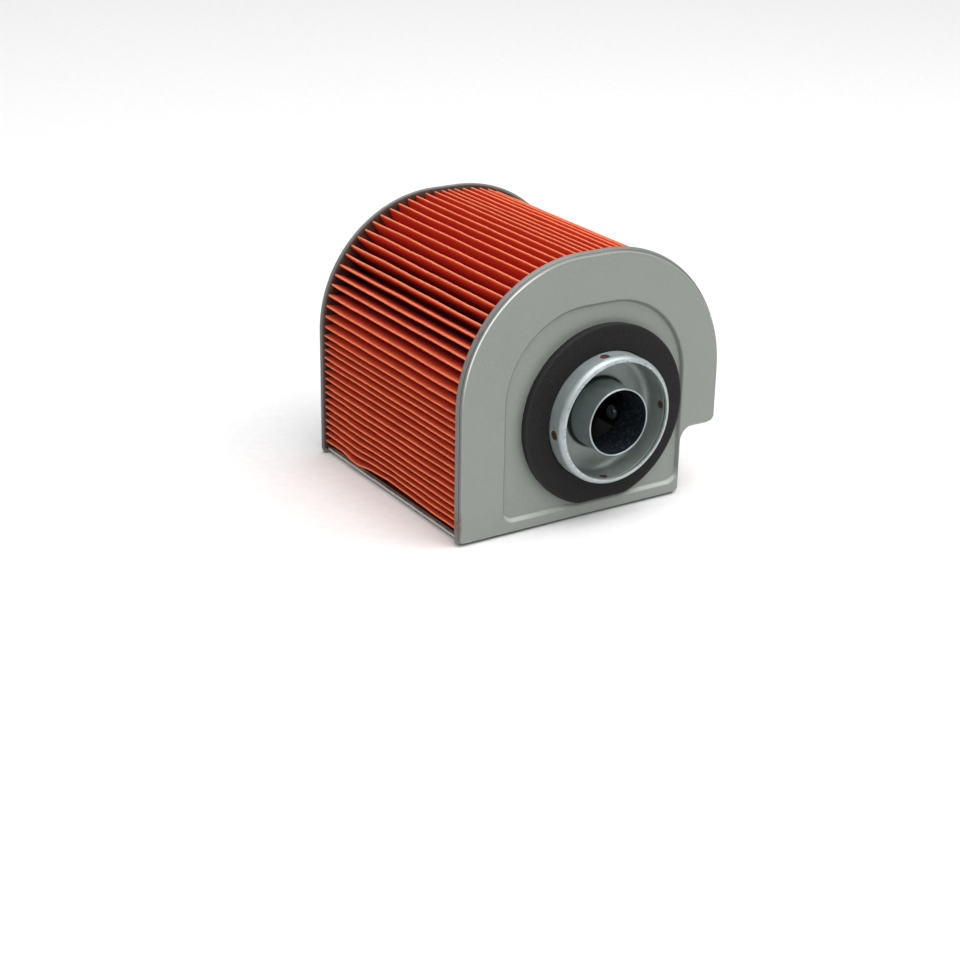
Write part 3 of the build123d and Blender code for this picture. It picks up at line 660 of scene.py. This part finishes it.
# ---- materials --------------------------------------------------------------------------------
class Paint:
    """Small helper that wires one Principled material; sizes and distances are in mm."""

    def __init__(self, name, metallic=0.0):
        self.material = bpy.data.materials.new(name)
        self.material.use_nodes = True
        self.tree = self.material.node_tree
        self.shader = next(n for n in self.tree.nodes if n.type == "BSDF_PRINCIPLED")
        self.shader.inputs["Metallic"].default_value = metallic
        self.place = self.tree.nodes.new("ShaderNodeTexCoord").outputs["Object"]

    def link(self, a, b):
        """A socket or a plain number into an input."""
        if hasattr(a, "is_linked"):
            self.tree.links.new(a, b)
        else:
            b.default_value = a

    def noise(self, size, detail=3.0, rough=0.55, offset=0.0, stretch=None):
        """Noise with features of about that size, from 0 to 1."""
        node = self.tree.nodes.new("ShaderNodeTexNoise")
        node.noise_dimensions = "4D"
        node.inputs["W"].default_value = offset
        node.inputs["Scale"].default_value = 1000.0 / size
        node.inputs["Detail"].default_value = detail
        node.inputs["Roughness"].default_value = rough
        source = self.place
        if stretch:
            scaled = self.tree.nodes.new("ShaderNodeMapping")
            scaled.inputs["Scale"].default_value = stretch
            self.tree.links.new(source, scaled.inputs["Vector"])
            source = scaled.outputs["Vector"]
        self.tree.links.new(source, node.inputs["Vector"])
        return node.outputs["Fac"]

    def cells(self, size):
        """Distance from the nearest of many scattered points, in units of their spacing."""
        node = self.tree.nodes.new("ShaderNodeTexVoronoi")
        node.inputs["Scale"].default_value = 1000.0 / size
        self.tree.links.new(self.place, node.inputs["Vector"])
        return node.outputs["Distance"]

    def specks(self, spacing, radii, cloud, cover):
        """1 on small dots, in the patches where a cloudy noise is high; pairs are where it fades."""
        dots = self.span(self.cells(spacing), *radii, 1.0, 0.0)
        return self.times(dots, self.span(self.noise(cloud, 1.0, 0.5, 6.0), *cover))

    def stored(self, name):
        """A number stored on the mesh."""
        node = self.tree.nodes.new("ShaderNodeAttribute")
        node.attribute_name = name
        return node.outputs["Fac"]

    def math(self, operation, a, b):
        node = self.tree.nodes.new("ShaderNodeMath")
        node.operation = operation
        self.link(a, node.inputs[0])
        self.link(b, node.inputs[1])
        return node.outputs[0]

    def times(self, a, b):
        return self.math("MULTIPLY", a, b)

    def span(self, value, low, high, out_low=0.0, out_high=1.0, smooth=True):
        """value taken from low..high to out_low..out_high, clamped."""
        node = self.tree.nodes.new("ShaderNodeMapRange")
        node.interpolation_type = "SMOOTHSTEP" if smooth else "LINEAR"
        self.link(value, node.inputs["Value"])
        for key, number in zip(("From Min", "From Max", "To Min", "To Max"), (low, high, out_low, out_high)):
            node.inputs[key].default_value = number
        return node.outputs["Result"]

    def ramp(self, value, stops):
        """Colour by value, from (place, colour) stops."""
        node = self.tree.nodes.new("ShaderNodeValToRGB")
        self.link(value, node.inputs["Fac"])
        ramp = node.color_ramp
        while len(ramp.elements) < len(stops):
            ramp.elements.new(0.5)
        for element, (at, colour) in zip(ramp.elements, stops):
            element.position = at
            element.color = (*colour, 1.0)
        return node.outputs["Color"]

    def mix(self, share, a, b):
        """Colour a where share is 0, b where it is 1."""
        node = self.tree.nodes.new("ShaderNodeMix")
        node.data_type = "RGBA"
        self.link(share, node.inputs[0])
        for value, socket in zip((a, b), (node.inputs[6], node.inputs[7])):
            if isinstance(value, tuple):
                socket.default_value = (*value, 1.0)
            else:
                self.tree.links.new(value, socket)
        return node.outputs[2]

    def spot(self, centre, radius, soft=0.5):
        """1 near a point, 0 beyond the radius."""
        node = self.tree.nodes.new("ShaderNodeVectorMath")
        node.operation = "DISTANCE"
        self.tree.links.new(self.place, node.inputs[0])
        node.inputs[1].default_value = tuple(c * MM for c in centre)
        return self.span(node.outputs["Value"], radius * MM * (1 - soft), radius * MM, 1.0, 0.0)

    def axis(self, which):
        """One coordinate in mm."""
        node = self.tree.nodes.new("ShaderNodeSeparateXYZ")
        self.tree.links.new(self.place, node.inputs[0])
        return self.times(node.outputs[which], 1 / MM)

    def bump(self, height, distance, strength=1.0, after=None):
        """Relief from a height between 0 and 1 that stands for that distance."""
        node = self.tree.nodes.new("ShaderNodeBump")
        node.inputs["Strength"].default_value = strength
        node.inputs["Distance"].default_value = distance * MM
        self.tree.links.new(height, node.inputs["Height"])
        if after is not None:
            self.tree.links.new(after, node.inputs["Normal"])
        return node.outputs["Normal"]

    def finish(self, colour=None, roughness=None, normal=None):
        """The finished material; what isn't given keeps the shader's own constant."""
        for value, key in ((colour, "Base Color"), (roughness, "Roughness"), (normal, "Normal")):
            if value is not None:
                self.tree.links.new(value, self.shader.inputs[key])
        return self.material


def plate_paint():
    """Satin grey paint, worn and chipped at the bends, with flecks and two rusty places on the front plate's
    left rim; painted shade darkens the rims and the recess's side and top slopes, and painted highlights
    lighten the bends and the recess's lower slope.
    """
    p = Paint("plate_paint")
    grain = p.noise(0.55, 2.0, 0.6, 1.0)
    cloud = p.noise(18.0, 3.0, 0.5, 2.0)
    colour = p.mix(p.span(grain, 0.3, 0.7), (0.216, 0.234, 0.212), (0.249, 0.268, 0.244))
    colour = p.mix(p.span(cloud, 0.3, 0.7, 0.0, 0.35), colour, (0.253, 0.270, 0.251))
    rim = p.stored("rim")
    # painted shade: the turned-in rim is darker than the face
    colour = p.mix(p.span(rim, 0.75, 0.95, 0.0, 0.8), colour, (0.142, 0.152, 0.146))
    # lighter where the sheet bends, partly thin paint with the metal showing through and partly a painted
    # highlight
    edge = p.times(p.span(rim, 0.40, 0.65), p.span(rim, 0.78, 0.95, 1.0, 0.0))
    colour = p.mix(p.times(edge, 0.12), colour, (0.50, 0.52, 0.50))
    # a painted highlight along the bend at the upper left, much lighter and also glossier
    bend_highlight = p.times(edge, p.spot((-44.0, FRONT, 84.0), 34.0, 0.6))
    colour = p.mix(p.times(bend_highlight, 0.85), colour, (0.80, 0.82, 0.80))
    # painted highlight on the recess's lower slope, painted shade on its side and top slopes
    slope = p.stored("slope")
    colour = p.mix(p.span(slope, 0.1, 0.9, 0.0, 0.62), colour, (0.50, 0.53, 0.49))
    colour = p.mix(p.span(slope, -0.95, -0.45, 0.38, 0.0), colour, (0.085, 0.090, 0.085))
    chipped = p.times(edge, p.span(p.noise(4.0, 4.0, 0.7, 3.0), 0.61, 0.68))
    colour = p.mix(p.times(chipped, 0.6), colour, (0.66, 0.67, 0.66))
    speck = p.specks(5.5, (0.022, 0.035), 9.0, (0.56, 0.62))
    colour = p.mix(p.times(speck, 0.75), colour, (0.06, 0.055, 0.05))
    blotch = p.span(p.noise(1.2, 3.0, 0.7, 8.0), 0.42, 0.6)
    rust = p.times(p.spot((-51.5, FRONT + 1.3, 82.0), 2.6, 0.8), blotch)
    blotch = p.span(p.noise(1.6, 4.0, 0.75, 9.0), 0.40, 0.56)
    stain = p.times(p.spot((-59.6, FRONT + 1.4, 9.0), 8.0, 0.9), blotch)
    dirt = p.math("MAXIMUM", rust, p.times(stain, p.span(rim, 0.3, 0.8)))
    colour = p.mix(p.times(dirt, 0.8), colour, (0.14, 0.075, 0.050))
    rough = p.span(p.noise(2.5, 3.0, 0.6, 4.0), 0.3, 0.7, 0.36, 0.46)
    rough = p.math("SUBTRACT", rough, p.times(bend_highlight, 0.18))
    relief = p.bump(grain, 0.010, 0.6, p.bump(p.noise(6.0, 2.0, 0.5, 7.0), 0.05, 0.5))
    p.shader.inputs["Specular IOR Level"].default_value = 0.45
    return p.finish(colour, rough, relief)


def pan_steel():
    """Galvanised sheet with some grime; the top of its left hem is darkened by glue and by painted shade
    under the lowest pleats.
    """
    p = Paint("pan_steel")
    grain = p.noise(0.7, 3.0, 0.6, 1.0)
    colour = p.mix(p.span(grain, 0.3, 0.7), (0.52, 0.54, 0.51), (0.60, 0.62, 0.59))
    grime = p.span(p.noise(7.0, 5.0, 0.7, 2.0), 0.5, 0.72)
    colour = p.mix(p.times(grime, 0.25), colour, (0.14, 0.11, 0.09))
    ragged = p.span(p.noise(5.0, 3.0, 0.6, 7.0), 0.3, 0.7, -0.12, 0.12, False)
    # glue and painted shade: a dark band along the top of the left hem, under the lowest pleats
    hem_glue_and_shade = p.span(p.math("ADD", p.axis("Z"), ragged), 2.0, 2.2)
    left_hem = p.span(p.axis("X"), -52.0, -48.0, 0.93, 0.0)
    colour = p.mix(p.times(hem_glue_and_shade, left_hem), colour, (0.030, 0.019, 0.013))
    rough = p.span(p.noise(3.0, 3.0, 0.6, 4.0), 0.3, 0.7, 0.36, 0.5)
    return p.finish(colour, rough, p.bump(grain, 0.012, 0.6))


def filter_paper():
    """Red paper with fibrous grain: painted shade darkens it between the pleats, a painted highlight turns
    left-facing pleats orange, and the outer folds are paler, partly a painted highlight.
    """
    p = Paint("filter_paper")
    reach = p.stored("reach")
    fibre = p.noise(0.35, 4.0, 0.7, 1.0, stretch=(1, 0.35, 1))
    cloud = p.noise(5.0, 3.0, 0.6, 2.0)
    west = p.stored("west")
    # painted shade: the red darkens towards the inner folds, between the pleats
    valley_shaded_reds = [(0.0, (0.42, 0.014, 0.003)), (0.7, (0.58, 0.022, 0.004)), (0.97, (0.64, 0.034, 0.008))]
    body = p.ramp(reach, valley_shaded_reds)
    # painted highlight: the upper flanks of pleats that face left turn orange, where light falls on them
    body = p.mix(p.times(west, p.span(reach, 0.58, 0.96, 0.0, 0.80)), body, (0.69, 0.125, 0.048))
    # paler along the outer folds, partly a painted highlight
    fold = p.span(reach, 0.978, 0.993)
    body = p.mix(fold, body, (0.86, 0.235, 0.108))
    body = p.mix(p.span(fibre, 0.3, 0.7, 0.0, 0.14), body, (0.62, 0.070, 0.022))
    body = p.mix(p.span(cloud, 0.35, 0.75, 0.0, 0.25), body, (0.36, 0.022, 0.008))
    relief = p.bump(fibre, 0.05, 0.8, p.bump(p.noise(1.6, 3.0, 0.6, 5.0), 0.08, 0.5))
    p.shader.inputs["Roughness"].default_value = 0.85
    p.shader.inputs["Specular IOR Level"].default_value = 0.08
    p.shader.inputs["Sheen Weight"].default_value = 0.04
    p.shader.inputs["Sheen Roughness"].default_value = 0.6
    return p.finish(body, None, relief)


def zinc(name, low, high, rough, metallic, edge=False, inside=False, foot=False):
    """Zinc-plated steel between two colours; if asked for, a torn edge, a dark blue bore with painted
    reflections, or a painted shadow at the foot.
    """
    p = Paint(name, metallic)
    fine = p.noise(0.5, 3.0, 0.6, 1.0)
    cloud = p.noise(6.0, 4.0, 0.6, 2.0)
    colour = p.mix(p.span(cloud, 0.3, 0.7), low, high)
    colour = p.mix(p.span(fine, 0.35, 0.75, 0.0, 0.35), colour, tuple(0.72 * c for c in low))
    speck = p.specks(4.2, (0.03, 0.06), 5.0, (0.56, 0.62))
    colour = p.mix(p.times(speck, 0.8), colour, (0.05, 0.04, 0.035))
    rougher = p.span(fine, 0.3, 0.7, rough - 0.05, rough + 0.07)
    if edge:
        bare = p.stored("edge")
        burr = p.span(p.noise(1.3, 3.0, 0.7, 12.0), 0.4, 0.6, 0.15, 0.75)
        colour = p.mix(p.times(p.span(bare, 0.35, 0.8), burr), colour, (0.54, 0.57, 0.58))
        dark = p.times(p.span(bare, 0.2, 0.5), p.span(p.noise(0.9, 3.0, 0.7, 15.0), 0.56, 0.64))
        colour = p.mix(p.times(dark, 0.6), colour, (0.06, 0.065, 0.07))
    if inside:
        rougher = p.mix(p.stored("inside"), rougher, (0.17, 0.17, 0.17))
        # the bore is dark blue, with pale blue streaks that are painted reflections
        reflected_streak = p.span(p.noise(1.4, 4.0, 0.75, 21.0), 0.5, 0.66)
        bore_with_reflections = p.mix(reflected_streak, (0.042, 0.062, 0.085), (0.25, 0.32, 0.41))
        colour = p.mix(p.times(p.stored("inside"), 0.92), colour, bore_with_reflections)
    if foot:
        # painted shadow round the tube's foot
        colour = p.mix(p.times(p.stored("foot"), 0.9), colour, (0.012, 0.016, 0.017))
    return p.finish(colour, rougher, p.bump(fine, 0.012, 0.7, p.bump(cloud, 0.05, 0.4)))


def stake_rust():
    """Rust from nearly black to bare metal."""
    p = Paint("stake_rust", 0.35)
    patch = p.noise(0.9, 4.0, 0.7, 1.0)
    rusts = [(0.36, (0.016, 0.010, 0.008)), (0.50, (0.060, 0.026, 0.016))]
    rusts += [(0.62, (0.17, 0.080, 0.045)), (0.74, (0.42, 0.36, 0.32))]
    colour = p.ramp(patch, rusts)
    return p.finish(colour, p.span(patch, 0.3, 0.7, 0.45, 0.75), p.bump(patch, 0.08, 0.8))


def foam():
    """Nearly black foam with open cells and some dust."""
    p = Paint("gasket_foam")
    cell = p.cells(0.42)
    fine = p.noise(0.30, 2.0, 0.7, 2.0)
    cloud = p.noise(9.0, 3.0, 0.6, 3.0)
    colour = p.mix(p.span(cell, 0.2, 0.7), (0.0034, 0.0031, 0.0030), (0.0140, 0.0130, 0.0126))
    colour = p.mix(p.span(fine, 0.52, 0.68, 0.0, 0.75), colour, (0.030, 0.028, 0.027))
    colour = p.mix(p.span(fine, 0.32, 0.46, 0.6, 0.0), colour, (0.0020, 0.0018, 0.0018))
    colour = p.mix(p.span(cloud, 0.3, 0.75, 0.0, 0.3), colour, (0.016, 0.015, 0.0145))
    colour = p.mix(p.times(p.stored("skirt"), 0.6), colour, (0.034, 0.031, 0.038))
    dust = p.specks(3.1, (0.035, 0.07), 4.0, (0.58, 0.64))
    colour = p.mix(p.times(dust, 0.5), colour, (0.25, 0.24, 0.23))
    relief = p.bump(cell, 0.09, 0.8, p.bump(fine, 0.05, 0.6))
    p.shader.inputs["Specular IOR Level"].default_value = 0.20
    return p.finish(colour, p.span(fine, 0.3, 0.7, 0.62, 0.8), relief)


def potting_resin():
    """Glossy dark brown resin."""
    p = Paint("potting")
    cloud = p.noise(4.0, 4.0, 0.65, 1.0)
    browns = [(0.3, (0.040, 0.016, 0.012)), (0.55, (0.070, 0.033, 0.025)), (0.8, (0.13, 0.085, 0.070))]
    relief = p.bump(p.noise(2.2, 3.0, 0.6, 4.0), 0.15, 0.5)
    return p.finish(p.ramp(cloud, browns), p.span(cloud, 0.3, 0.7, 0.28, 0.5), relief)


def screen_steel():
    """Plain steel of the inner screen."""
    p = Paint("screen_steel", 1.0)
    fine = p.noise(0.8, 3.0, 0.6, 1.0)
    colour = p.mix(p.span(fine, 0.3, 0.7), (0.34, 0.35, 0.36), (0.46, 0.47, 0.48))
    return p.finish(colour, p.span(fine, 0.3, 0.7, 0.34, 0.48), p.bump(fine, 0.02, 0.6))


def rivet_face():
    """Middle of the rivet's face inside the filter, in mm."""
    rivet = nodes["screen_rivet"]
    corners = [rivet.matrix_world @ Vector(corner) for corner in rivet.bound_box]
    middle = sum(corners, Vector()) / 8
    return (min(corner.x for corner in corners) / MM, middle.y / MM, middle.z / MM)


def rivet_alloy():
    """Bright rivet whose hollow middle is darkened, a painted shade in the hole."""
    p = Paint("rivet_alloy", 0.35)
    fine = p.noise(0.5, 3.0, 0.6, 1.0)
    colour = p.mix(p.span(fine, 0.3, 0.7), (0.70, 0.72, 0.74), (0.84, 0.85, 0.86))
    # painted shade in the rivet's hollow middle
    colour = p.mix(p.spot(rivet_face(), 1.5, 0.3), colour, (0.010, 0.012, 0.015))
    return p.finish(colour, p.span(fine, 0.3, 0.7, 0.28, 0.42), p.bump(fine, 0.01, 0.6))


def tape_film():
    """Pale film under the gasket."""
    p = Paint("tape_film")
    fine = p.noise(0.8, 3.0, 0.6, 1.0)
    colour = p.mix(p.span(fine, 0.3, 0.7), (0.55, 0.54, 0.48), (0.66, 0.65, 0.60))
    return p.finish(colour, p.span(fine, 0.3, 0.7, 0.3, 0.45), p.bump(fine, 0.01, 0.5))


def coat(obj, material):
    """One material on a built piece."""
    obj.data.materials.clear()
    obj.data.materials.append(material)


def recoat(node, material):
    """A better material in a CAD node's own slots."""
    for index in range(len(nodes[node].material_slots)):
        nodes[node].material_slots[index].material = material


paint, resin = plate_paint(), potting_resin()
collar_zinc = zinc("collar_zinc", (0.375, 0.425, 0.428), (0.46, 0.510, 0.515), 0.47, 0.58, edge=True)
cup_zinc = zinc("cup_zinc", (0.28, 0.315, 0.297), (0.345, 0.38, 0.36), 0.50, 0.60, foot=True)
tube_zinc = zinc("tube_zinc", (0.34, 0.40, 0.40), (0.45, 0.51, 0.51), 0.36, 0.85, inside=True, foot=True)
BUILT = (
    (front_plate, "plate_paint", ["front_plate"], paint),
    (rear_plate, "plate_paint", ["rear_plate"], paint),
    (paper, "filter_paper", ["pleated_media"], filter_paper()),
    (gasket, "gasket_foam", ["outlet_gasket"], foam()),
    (collar, "collar_steel", ["outlet_collar"], collar_zinc),
    (cup, "cup_steel", ["outlet_cup"], cup_zinc),
    (tube, "tube_steel", ["outlet_tube"], tube_zinc),
    (stakes, "stake_steel", ["collar_stakes"], stake_rust()),
    (front_potting, "potting", ["front_sealant"], resin),
    (rear_potting, "potting", ["rear_sealant"], resin),
)
for obj, slot, stands_for, material in BUILT:
    coat(obj, material)
    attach(obj, "root")
    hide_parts(*stands_for)
recoat("base_pan", pan_steel())
recoat("left_seam_bead", resin)
recoat("right_seam_bead", resin)
recoat("inner_screen", screen_steel())
recoat("screen_rivet", rivet_alloy())
recoat("gasket_tape", tape_film())


# ---- studio -------------------------------------------------------------------------------------
def floor():
    """A pale matt floor at z 0."""
    p = Paint("studio_floor")
    fine = p.noise(3.0, 2.0, 0.5, 1.0)
    p.finish(p.mix(p.span(fine, 0.3, 0.7), (0.80, 0.80, 0.80), (0.83, 0.83, 0.83)))
    p.shader.inputs["Roughness"].default_value = 0.7
    line = np.linspace(-6000.0, 6000.0, 13)
    points = [(x, y, 0.0) for y in line for x in line]
    obj = mesh_piece("studio_floor", points, grid_faces(len(line), len(line)), False)
    coat(obj, p.material)


def light(name, kind, power, place=None, target=(0, 0, 0.05)):
    """A light in metres and watts, looking from its place at a target."""
    data = bpy.data.lights.new(name, kind)
    data.energy = power
    obj = bpy.data.objects.new(name, data)
    if place:
        obj.location = place
        obj.rotation_euler = (Vector(target) - Vector(place)).to_track_quat("-Z", "Y").to_euler()
    bpy.context.scene.collection.objects.link(obj)
    return obj


def studio():
    """Soft boxes, a wide sun and an even surround."""
    for name, place, side, power in (
            ("overhead", (0.0, 0.0, 1.3), 0.9, 6),
            ("high_front", (0.6, -0.47, 0.93), 0.4, 2.5),
            ("key", (-0.64, -0.78, 0.80), 0.22, 1.6)):
        lamp = light(name, "AREA", power, place)
        lamp.data.shape = "RECTANGLE"
        lamp.data.size = lamp.data.size_y = side
    # a narrow beam from beside the camera reaches the rivet inside the tube
    target = [c * MM for c in rivet_face()]
    beam = light("beam", "SPOT", 0.8, (-0.3986, -0.5936, 0.3364), target)
    beam.data.spot_size = math.radians(1.7)
    beam.data.spot_blend = 0.7
    beam.data.shadow_soft_size = 0.01
    sky = light("sky", "SUN", 2.2)
    sky.data.angle = math.radians(70)
    sky.rotation_euler = Vector((0.12, -0.42, 1.0)).to_track_quat("Z", "Y").to_euler()
    world = bpy.data.worlds.new("studio_air")
    world.use_nodes = True
    background = world.node_tree.nodes["Background"]
    background.inputs["Color"].default_value = (1.0, 1.0, 1.0, 1.0)
    background.inputs["Strength"].default_value = 0.34
    bpy.context.scene.world = world


def camera():
    """The photo's viewpoint, as its axes and its place in metres."""
    data = bpy.data.cameras.new("camera")
    data.sensor_width = 36.0
    data.lens = 72.9075
    data.clip_start, data.clip_end = 0.02, 50.0
    obj = bpy.data.objects.new("camera", data)
    right = Vector((0.846418, -0.532275, 0.016142))
    up = Vector((0.197676, 0.342201, 0.918598))
    back = Vector((-0.494471, -0.774327, 0.394863))
    place = Vector((-0.40480, -0.60383, 0.30880))
    axes = Matrix((right, up, back)).transposed().to_4x4()
    obj.matrix_world = Matrix.Translation(place) @ axes
    bpy.context.scene.collection.objects.link(obj)
    bpy.context.scene.camera = obj


floor()
studio()
camera()
bpy.context.scene.view_settings.view_transform = "Standard"
